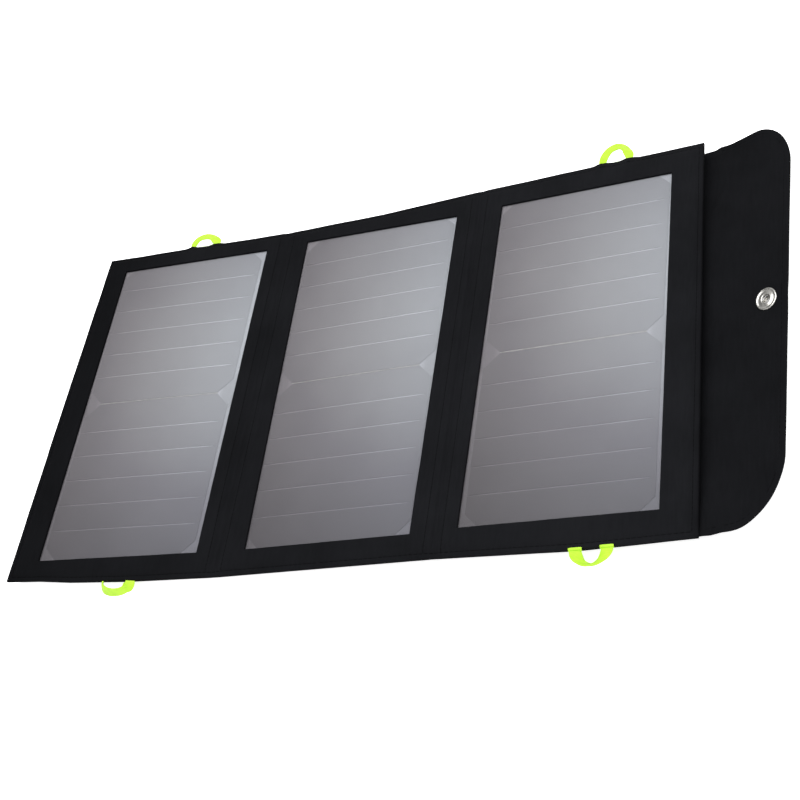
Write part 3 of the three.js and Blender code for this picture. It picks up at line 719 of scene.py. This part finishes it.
def add_pocket():
    centre = WINDOW_X["right"]
    marks = [centre + place for place in (POCKET_SEAM_X, 28, 76, POCKET_END_X)]
    xs = stations(marks, 4.5, (0.4, 1.2, 2.4))
    ys = stations([NOMINAL["bottom"] + 0.4, NOMINAL["top"] - 0.4], 4.5, (0.4, 1.2, 2.4, 4))
    piece = make_piece("pocket_cloth", *closed_sheet(xs, ys, pocket_top, pocket_bottom, case_point),
                       "case_fabric")
    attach(piece, "right_panel")
    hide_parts("pocket_sheet")


# ---- Spine and flap: one curved sheet, in two pieces that meet on the spine

SPINE_LENGTH = math.hypot(FLAP_PIVOT[0] - SPINE_PIVOT[0], FLAP_PIVOT[2] - SPINE_PIVOT[2])
SPINE_SLOPE = math.degrees(math.atan2(FLAP_PIVOT[2] - SPINE_PIVOT[2], FLAP_PIVOT[0] - SPINE_PIVOT[0]))
FLAP_SLOPE = SPINE_SLOPE + 8.5  # in degrees
FLAP_THICKNESS = 1.2
# Lengths run along the sheet from the spine's pivot
FLAP_START = -9.0  # inside the pocket's mouth
FLAP_JOIN = 12.0  # where the two pieces meet
FLAP_TOP_CORNER = {"start": 31.0, "height": 37.0}
FLAP_BOTTOM_CORNER = {"start": 8.0, "height": 49.5}
FLAP_ENDS = (50.8, 55.8)  # the free edge at the bottom and at the top
STRAIGHT_END = (-97, 122)  # where the free edge is straight, between its two round corners
TUCK = {"depth": 2.6, "starts": (92, 108)}  # at the pocket's mouth; starts is in Y
FLAP_BEND = (SPINE_LENGTH - 5, SPINE_LENGTH + 5)
SNAP_PLACE = (38.5, 12.7)  # length along the sheet, and Y
SNAP_DROP = 0.8  # how far the snap sits below its drawn place
SNAP_TILT = (0.15, 0.16)  # how steeply the cloth under the snap rises, along the sheet and up it
SNAP_HOLE = 4.5  # the cloth is cut away inside the snap's ring

# The sheet's middle line, which turns from the spine's slope to the flap's over the flap's bend
LINE_STEPS = np.linspace(-14, 64, 391)
line_slopes = np.radians(SPINE_SLOPE + (FLAP_SLOPE - SPINE_SLOPE) * smooth(*FLAP_BEND, LINE_STEPS))
line_run = np.cumsum(np.cos(line_slopes)) * (LINE_STEPS[1] - LINE_STEPS[0])
line_climb = np.cumsum(np.sin(line_slopes)) * (LINE_STEPS[1] - LINE_STEPS[0])
line_run -= np.interp(0, LINE_STEPS, line_run)
line_climb -= np.interp(0, LINE_STEPS, line_climb)


def sheet_line(u):
    """X and Z of the sheet's middle line, a distance u along it."""
    return (SPINE_PIVOT[0] + np.interp(u, LINE_STEPS, line_run),
            SPINE_PIVOT[2] + np.interp(u, LINE_STEPS, line_climb))


def corner_drop(u, corner):
    share = np.clip((u - corner["start"]) / (FLAP_ENDS[1] - corner["start"]), 0, 1)
    return corner["height"] * (1 - np.sqrt(1 - share * share))


def flap_top_y(u):
    root = 2.0 * (1 - smooth(0, 13, u))
    return 155.3 + root + 4.7 * smooth(3, 34, u) - corner_drop(u, FLAP_TOP_CORNER)


def flap_bottom_y(u):
    return -149.4 - 2.0 * (1 - smooth(4, 14, u)) + corner_drop(u, FLAP_BOTTOM_CORNER)


def narrowing(y):
    """The sheet's length at each height, as a share of its length at the top."""
    return np.interp(y, STRAIGHT_END, (FLAP_ENDS[0] / FLAP_ENDS[1], 1.0))


def flap_plan(s, t):
    """Where a grid point lies on the sheet: s is its nominal length along, t runs from 0 to 1 up it."""
    y = flap_bottom_y(s) + t * (flap_top_y(s) - flap_bottom_y(s))
    return s * np.where(s > 0, narrowing(y), 1.0), y


def flap_sag(u, y):
    """How far the sheet leaves its line: it starts on the pocket's mouth, with a deep tuck at the top."""
    mouth_x = WINDOW_X["right"] + POCKET_END_X
    root = pocket_bottom(np.full(np.shape(u), mouth_x), y) - FLAP_THICKNESS / 2 - 0.1 - SPINE_PIVOT[2]
    tuck_end = 1 + 9 * smooth(97, 117, y) * (1 - 0.4 * smooth(119, 155, y))
    tuck = -TUCK["depth"] * smooth(*TUCK["starts"], y) * (1 - smooth(0.2, 1.0, (u + 3) / (tuck_end + 3)))
    du, dy = u - SNAP_PLACE[0], y - SNAP_PLACE[1]
    away = np.hypot(du, dy)
    clear = smooth(8, 16, away)
    seat = (SNAP_TILT[0] * du + SNAP_TILT[1] * dy) * (1 - smooth(7, 20, away))
    waves = (0.8 * ripple(u, y, 36, 6.0) + 0.25 * ripple(u, y, 13, 2.0)) * clear
    return root * (1 - smooth(0, 24, u)) + tuck + waves * smooth(0, 8, u) + seat


def flap_surface(u, y, offset):
    x, z = sheet_line(u)
    return to_row(np.stack([x, y, z + flap_sag(u, y) + offset], -1))


def flap_point(s, t, offset):
    u, y = flap_plan(s, t)
    return flap_surface(u, y, offset)


def flap_edge_distance(s, t):
    span = flap_top_y(s) - flap_bottom_y(s)
    return np.minimum(np.minimum(t, 1 - t) * span, FLAP_ENDS[1] - s)


def flap_face(side):
    """The height of the upper (1) or lower (-1) face: thicker where the hem is turned over."""
    def height(s, t):
        edge = flap_edge_distance(s, t)
        hem = 0.25 * (1 - smooth(6.2, 7.2, edge)) - 0.2 * np.exp(-((edge - 4.0) / 1.1) ** 2)
        return side * (FLAP_THICKNESS / 2 + hem - rounding(edge, 0.6))
    return height


def in_snap_hole(s, t):
    u, y = flap_plan(s, t)
    return np.hypot(u - SNAP_PLACE[0], y - SNAP_PLACE[1]) < SNAP_HOLE


def add_flap():
    height, corner_reach = 300, 7.6
    rim = np.array([0, 0.15, 0.4, 0.8, 1.4, 2.2, 3.1, 4.0, 4.9, 5.8, 6.6, 7.4, 9.5]) / height
    ts = np.concatenate([rim, np.linspace(0.045, 0.955, 62), 1 - rim[::-1]])
    corner = FLAP_ENDS[1] - corner_reach * (1 - np.sin(np.linspace(0, math.pi / 2, 12)))
    far = np.concatenate([np.linspace(FLAP_JOIN, corner[0], 34)[:-1], corner])
    pieces = {}
    for name, lines in (("spine_cloth", np.linspace(FLAP_START, FLAP_JOIN, 17)), ("flap_cloth", far)):
        shape = closed_sheet(lines, ts, flap_face(1), flap_face(-1), flap_point, in_snap_hole)
        pieces[name] = make_piece(name, *shape, "case_fabric")
    bend_on_line(pieces["spine_cloth"])
    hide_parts("flap_spine")
    bend_on_line(pieces["flap_cloth"])
    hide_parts("flap_outer", "flap_lining")


# The snap's ring, from its open edge round the outside and back up the bore: radius and height
# from the top of the flange, as shares of the socket's radius
SNAP_PROFILE = ((1.0, -0.135), (1.0, -0.09), (0.985, -0.055), (0.95, -0.03), (0.90, -0.022),
                (0.86, -0.030), (0.82, -0.055), (0.78, -0.070), (0.74, -0.072), (0.69, -0.062),
                (0.60, -0.038), (0.52, -0.015), (0.46, -0.003), (0.41, -0.008), (0.375, -0.035),
                (0.355, -0.08), (0.345, -0.15), (0.345, -0.36), (0.40, -0.36), (0.40, -0.135))
SNAP_SPREAD = 1.05  # the ring's rim is spread a little by the press
# Its spring wires, in the same shares; turned is the cosine and sine of how far they are turned
SNAP_WIRE = {"offset": 0.235, "bow": 0.05, "radius": 0.032, "height": -0.14, "half_length": 0.312,
             "turned": (0.87, 0.5), "stations": 15}


def lathed(profile, turns):
    """Points and faces of a closed profile of radii and heights, turned about the Z axis."""
    angles = np.linspace(0, 2 * math.pi, turns, endpoint=False)
    points = [(r * math.cos(a), r * math.sin(a), z) for a in angles for r, z in profile]
    size = len(profile)
    faces = []
    for turn in range(turns):
        here, after = turn * size, (turn + 1) % turns * size
        for k in range(size):
            faces.append((here + k, after + k, after + (k + 1) % size, here + (k + 1) % size))
    return np.array(points), faces


def node_mesh(name):
    """The points and faces of a CAD node."""
    data = frame["nodes"][name].data
    return np.array([v.co for v in data.vertices]), [tuple(face.vertices) for face in data.polygons]


def square_to(up):
    """Three directions at right angles: two across a surface, and its normal."""
    across = unit(np.cross(ACROSS, up))
    return np.array([across, np.cross(up, across), up])


def snap_frame():
    """The top of the socket's flange, its radius, and the snap's directions, drawn and as it sits."""
    points, _ = node_mesh("snap_socket")
    centre = points.mean(axis=0)
    up = np.linalg.svd(points - centre, full_matrices=False)[2][2]
    up = up * np.sign(up[2])
    height = (points - centre) @ up
    radius = np.linalg.norm(points - centre - np.outer(height, up), axis=1).max()
    tilted = unit(up - SNAP_TILT[0] * ALONG - SNAP_TILT[1] * ACROSS)
    return centre + up * height.max(), SNAP_SPREAD * radius, square_to(up), square_to(tilted)


def add_snap():
    """The flap's ring snap: its cap, its socket, and the two spring wires that grip the stud and show
    in the socket's bore."""
    drawn_top, radius, drawn_axes, axes = snap_frame()
    top = drawn_top - SNAP_DROP * MM * ACROSS

    def placed(points):
        return top + radius * np.asarray(points) @ axes

    points, faces = node_mesh("snap_cap")
    seated = top + (points - drawn_top) @ drawn_axes.T @ axes
    cap = make_piece("snap_cap_seated", seated, faces, "nickel")
    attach(cap, "flap")
    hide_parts("snap_cap")
    points, faces = lathed(SNAP_PROFILE, 64)
    ring = make_piece("snap_ring", placed(points), faces, "nickel")
    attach(ring, "flap")
    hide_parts("snap_socket")
    share = np.linspace(-1, 1, SNAP_WIRE["stations"])
    cos, sin = SNAP_WIRE["turned"]
    for number, sign in enumerate((-1, 1), 1):
        run = share * SNAP_WIRE["half_length"]
        offset = sign * (SNAP_WIRE["offset"] - SNAP_WIRE["bow"] * share ** 2)
        centres = np.stack([run * cos - offset * sin, run * sin + offset * cos,
                            np.full(len(share), SNAP_WIRE["height"])], -1)
        half = np.full(len(share), SNAP_WIRE["radius"])
        points, faces, _ = ribbon(centres, np.tile([0, 0, 1.0], (len(share), 1)), half, half)
        wire = make_piece(f"snap_spring_{number}", placed(points), faces, "nickel", "steel")
        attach(wire, "flap")


def bend_on_line(piece):
    bend_between(piece)


# ---- Stitching: rows of short black thread bumps

STITCH = {"length": 2.9, "pitch": 3.6, "radius": 0.24, "lift": 0.03, "sides": 6,
          "places": (0.0, 0.14, 0.5, 0.86, 1.0), "swell": (0.35, 0.9, 1.0, 0.9, 0.35)}


def stitch_row(path, surface):
    """Points and faces of stitches laid along a path of flat points. surface(x, y, height) gives the
    place a height above the cloth at each flat point."""
    path = np.asarray(path, float)
    lengths = lengths_along(path)
    sides = STITCH["sides"]
    angles = 2 * math.pi * (np.arange(sides) + 0.5) / sides
    swell = STITCH["radius"] * np.array(STITCH["swell"])[:, None]
    across, above = swell * np.cos(angles), swell * np.sin(angles) + STITCH["lift"]
    size = across.size
    points, faces = [], []
    for number in range(int(lengths[-1] // STITCH["pitch"])):
        begin = (number + 0.5) * STITCH["pitch"] - STITCH["length"] / 2
        places = begin + STITCH["length"] * np.array(STITCH["places"])
        centre = np.stack([np.interp(places, lengths, path[:, k]) for k in (0, 1)], -1)
        direction = centre[-1] - centre[0]
        sideways = unit(np.array([-direction[1], direction[0]]))
        flat = centre[:, None, :] + across[..., None] * sideways
        points.append(surface(flat[..., 0], flat[..., 1], above).reshape(-1, 3))
        base = number * size
        for ring in range(base, base + size - sides, sides):
            for k in range(sides):
                a, b = ring + k, ring + (k + 1) % sides
                faces.append((a, a + sides, b + sides, b))
        faces.append([base + k for k in range(sides)])
        faces.append([base + size - 1 - k for k in range(sides)])
    return np.concatenate(points), faces


def add_stitches(name, rows, surface):
    all_points, all_faces = np.zeros((0, 3)), []
    for path in rows:
        points, faces = stitch_row(path, surface)
        all_faces += [[index + len(all_points) for index in face] for face in faces]
        all_points = np.concatenate([all_points, points])
    return make_piece(name, all_points, all_faces, "case_fabric", "thread")


def on_case_front(x, y, above):
    return case_point(x, y, front_top(x, y) + above)


def on_flap(u, y, above):
    return flap_surface(u, y, FLAP_THICKNESS / 2 - 0.05 + above)


def inset(outline, distance):
    """An outline moved to its left by a distance."""
    outline = np.asarray(outline, float)
    direction = unit(np.gradient(outline, axis=0))
    return outline + distance * np.stack([-direction[:, 1], direction[:, 0]], -1)


def add_case_stitches():
    """A row along each half's hem, and one down either side of its fold."""
    hem, beside_fold = 3.4, 6.2
    left, right = NOMINAL["left"] + hem, NOMINAL["right"] - hem
    low, high = NOMINAL["bottom"] + hem, NOMINAL["top"] - hem
    hems = {"left": [(0, high), (left, high), (left, low), (0, low)],
            "right": [(0, low), (right, low), (right, high), (0, high)]}
    folds = {"left": FOLD_LEFT[0], "right": FOLD_RIGHT[0]}
    for side, (first, second, bend) in CASE_HALVES.items():
        places = (folds[side] - beside_fold, folds[side] + beside_fold)
        rows = [hems[side]] + [[(place, low), (place, high)] for place in places]
        piece = add_stitches(f"case_stitches_{side}", rows, on_case_front)
        bend_case(piece)


def add_flap_stitches():
    s = np.linspace(2, FLAP_ENDS[1], 120)
    top = np.stack([s, flap_top_y(s)], -1)
    bottom = np.stack([s, flap_bottom_y(s)], -1)
    outline = np.concatenate([bottom, top[::-1][1:]])
    outline[:, 0] *= narrowing(outline[:, 1])
    path = inset(outline, 4.0)
    halves = path[:len(path) // 2], path[len(path) // 2:]
    on_spine = [half[half[:, 0] < FLAP_JOIN] for half in halves]
    on_far_side = [path[path[:, 0] >= FLAP_JOIN]]
    bend_on_line(add_stitches("spine_stitches", on_spine, on_flap))
    bend_on_line(add_stitches("flap_stitches", on_far_side, on_flap))


# ---- Webbing loops: flat tape that leaves the seam, twists on edge over the top, and goes back in

# The tape, and how its loops stand: their height above the panel's back face, how far their middles
# rise above that, and how far inside and outside the case's edge each leg starts and its arch begins
TAPE = {"width": 8.0, "thickness": 1.2, "height": 2.1, "rise": 0.5, "inside": 0.05, "outside": 0.9}
# Each loop leaves the case at its edge. From the window's centre: where its two legs stand, how far
# it reaches out, and for some, which way the middle leans or how far the legs draw in from a round
# arch. Then how narrow the tape is gathered at its first and last foot, and how far it has turned
# from lying flat, in degrees, at even steps between the legs.
LOOPS = {
    "loop_left_top": {"edge": 146.0, "legs": (-4.8, 17.0), "reach": 11.0, "lean": -1.5,
                      "feet": (0.7, 0.7), "turns": (165, 165, 163, 148, 175)},
    "loop_left_bottom": {"edge": -153.1, "legs": (-5.2, 17.4), "reach": 8.5, "lean": 1.0,
                         "feet": (0.42, 0.9), "turns": (120, 121, 104, 94, 170)},
    "loop_right_top": {"edge": 152.0, "legs": (11.7, 31.6), "reach": 16.0,
                       "feet": (0.78, 0.6), "turns": (165, 168, 168, 140, 162)},
    "loop_right_bottom": {"edge": -156.0, "legs": (14.2, 34.2), "reach": 10.2, "draw_in": 0.45,
                          "feet": (1.0, 1.0), "turns": (4, 46, 55, 36, 2)},
}


def ribbon(centres, widths_along, half_widths, half_thicknesses):
    """Points, faces and tape coordinates of a flat tape. Each station has its centre, the direction
    of its width, and half its width and thickness."""
    centres = np.asarray(centres, float)
    tangents = unit(np.gradient(centres, axis=0))
    across = np.asarray(widths_along, float)
    across = unit(across - (across * tangents).sum(1)[:, None] * tangents)
    normals = np.cross(tangents, across)
    upper = [(-1, 0), (-0.93, 0.75), (-0.6, 1), (0, 1), (0.6, 1), (0.93, 0.75)]
    section = upper + [(-a, -b) for a, b in upper]
    rings = [centres + across * (half_widths * a)[:, None] + normals * (half_thicknesses * b)[:, None]
             for a, b in section]
    points = np.stack(rings, 1).reshape(-1, 3)
    size = len(section)
    faces = [[size - 1 - k for k in range(size)], [(len(centres) - 1) * size + k for k in range(size)]]
    for ring in range(len(centres) - 1):
        for k in range(size):
            a, b = ring * size + k, ring * size + (k + 1) % size
            faces.append((a, b, b + size, a + size))
    tape = np.array([(gone, a * half) for gone, half in zip(lengths_along(centres), half_widths)
                     for a, _ in section])
    return points, faces, tape


def add_tape(name, points, faces, tape, side):
    """A piece of webbing, from flat points measured from its panel's window centre."""
    points = points + np.array([WINDOW_X[side], 0, 0])
    if side == "left":
        points = turned_about(points, FOLD_LEFT, LEFT_RISE)
    piece = make_piece(name, to_row(points), faces, "webbing")
    coordinates = piece.data.attributes.new("tape", "FLOAT_VECTOR", "POINT")
    flat = np.concatenate([tape, np.zeros((len(tape), 1))], 1) * MM
    coordinates.data.foreach_set("vector", flat.astype(np.float32).ravel())
    return piece


def loop_line(shape):
    """One loop's centres, width directions and places from 0 to 1, from its first leg to its last."""
    edge = shape["edge"]
    out = math.copysign(1, edge)
    first, last = shape["legs"]
    middle, half = (first + last) / 2, (last - first) / 2
    share = np.linspace(0, 1, 41)
    turn = math.pi * share
    draw_in = shape.get("draw_in", 0)
    spread = (1 - draw_in) * np.cos(turn) + draw_in * (1 - 2 * share)
    x = middle - half * spread + shape.get("lean", 0) * np.sin(turn) ** 2
    y = edge + out * (TAPE["outside"] + (shape["reach"] - TAPE["outside"]) * np.sin(turn) ** 0.9)
    arch = np.stack([x, y, TAPE["height"] + TAPE["rise"] * np.sin(turn)], -1)
    inside = [edge - out * step for step in (TAPE["inside"], TAPE["inside"] / 2)]
    legs = [np.array([[end, place, TAPE["height"]] for place in inside]) for end in (first, last)]
    centres = np.concatenate([legs[0], arch, legs[1][::-1]])
    share = np.concatenate([[0, 0], share, [1, 1]])
    angle = np.radians(np.interp(share, np.linspace(0, 1, 5), shape["turns"]))
    tangents = np.gradient(centres, axis=0)
    outward = unit(np.stack([-tangents[:, 1] * out, tangents[:, 0] * out, np.zeros(len(share))], -1))
    widths = outward * np.cos(angle)[:, None] + np.array([0, 0, 1]) * np.sin(angle)[:, None]
    return centres, widths, share


def add_loops():
    for name, shape in LOOPS.items():
        side = "left" if "left" in name else "right"
        centres, widths, share = loop_line(shape)
        foot = np.where(share < 0.5, *shape["feet"])
        gathered = foot + (1 - foot) * smooth(0, 0.16, np.minimum(share, 1 - share))
        half_thicknesses = np.full(len(share), TAPE["thickness"] / 2)
        points, faces, tape = ribbon(centres, widths, gathered * TAPE["width"] / 2, half_thicknesses)
        piece = add_tape(name + "_tape", points, faces, tape, side)
        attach(piece, name)
        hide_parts(name)


# The last loop's sewn ends: steps up the border from its edge, and heights at some of them
SEWN_END = {"half_width": 4.4, "half_thickness": 0.5,
            "steps": (-0.9, -0.7, -0.5, -0.3, 0.0, 0.3, 0.6, 0.8),
            "heights": ((-0.9, 2.1), (-0.5, 2.7), (0.0, 3.1), (0.6, 3.4), (0.8, 3.0))}


def add_sewn_ends():
    """The last loop's two tape ends, sewn flat on the front of the right panel's lower border."""
    steps = np.array(SEWN_END["steps"])
    halves = [np.full(len(steps), SEWN_END[key]) for key in ("half_width", "half_thickness")]
    for number, leg in enumerate(LOOPS["loop_right_bottom"]["legs"], 1):
        edge = along(BOTTOM_EDGE, WINDOW_X["right"] + leg)
        height = along(SEWN_END["heights"], steps)
        centres = np.stack([np.full(len(steps), leg), edge + steps, height], -1)
        points, faces, tape = ribbon(centres, np.tile([1.0, 0, 0], (len(steps), 1)), *halves)
        piece = add_tape(f"loop_end_{number}", points, faces, tape, "right")
        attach(piece, "right_panel")


# ---- Camera, light and floor

CAMERA = {"aim": (40.4, -27.3, 2.2), "azimuth": -51.01, "elevation": 47.29, "distance": 992.3,
          "roll": -38.60, "lens": 64.64}


def add_camera():
    azimuth, elevation, roll = (math.radians(CAMERA[key]) for key in ("azimuth", "elevation", "roll"))
    level = math.cos(elevation)
    back = np.array([math.cos(azimuth) * level, math.sin(azimuth) * level, math.sin(elevation)])
    across = unit(np.cross(-back, (0, 0, 1)))
    right = across * math.cos(roll) + np.cross(across, -back) * math.sin(roll)
    axes = (right, np.cross(back, right), back)
    carried = [axis[0] * ALONG + axis[1] * ACROSS + axis[2] * UP for axis in axes]
    data = bpy.data.cameras.new("camera")
    data.lens = CAMERA["lens"]
    data.sensor_width = 36
    camera = linked("camera", data)
    place = to_row(np.array(CAMERA["aim"]) + back * CAMERA["distance"])
    rotation = Matrix(np.array(carried).T.tolist()).to_4x4()
    camera.matrix_world = Matrix.Translation(place) @ rotation
    bpy.context.scene.camera = camera


def add_floor():
    look = Look("floor_pale", 0.9, Specular_IOR_Level=0.1, Emission_Color=grey(1.0),
                Emission_Strength=0.85)
    drift = look.noise(0.4, 2)
    look.colour(look.ramp(drift, (0.3, grey(0.86)), (0.7, grey(0.88))))
    mesh = bpy.data.meshes.new("floor")
    reach = 6.0
    mesh.from_pydata([(-reach, -reach, 0), (reach, -reach, 0), (reach, reach, 0), (-reach, reach, 0)], [],
                     [(0, 1, 2, 3)])
    mesh.materials.append(look.material)
    linked("floor", mesh)


def add_area_light(name, place, aim, size, power):
    data = bpy.data.lights.new(name, "AREA")
    data.shape = "RECTANGLE"
    data.size, data.size_y = size
    data.energy = power
    light = linked(name, data)
    light.location = place
    direction = Vector(aim) - Vector(place)
    light.rotation_euler = direction.to_track_quat("-Z", "Y").to_euler()


def add_light():
    world = bpy.data.worlds.new("studio")
    world.use_nodes = True
    sky = world.node_tree.nodes["Background"].inputs
    sky["Color"].default_value = (1, 1, 1, 1)
    sky["Strength"].default_value = 0.42
    bpy.context.scene.world = world
    bpy.context.scene.view_settings.view_transform = "Standard"
    add_area_light("overhead", (-0.1, 0.1, 1.9), (0, 0, 0), (2.2, 2.2), 62)
    add_area_light("side", (1.7, 0.2, 1.1), (0.1, 0, 0), (1.0, 1.4), 8)


# ---- Everything together


def dress_cad_nodes():
    """Gives each carried-over node its finish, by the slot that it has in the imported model."""
    made = {}
    for name, node in frame["nodes"].items():
        slot, side = node.data.materials[0].name.split(".")[0], name.split("_")[0]
        if slot in LOOKS_BY_SIDE and (slot, side) not in made:
            made[slot, side] = LOOKS_BY_SIDE[slot](side)
        node.material_slots[0].material = made.get((slot, side)) or LOOKS[slot]


add_camera()
dress_cad_nodes()
add_case()
add_case_stitches()
add_pocket()
add_flap()
add_flap_stitches()
add_snap()
add_loops()
add_sewn_ends()
add_floor()
add_light()
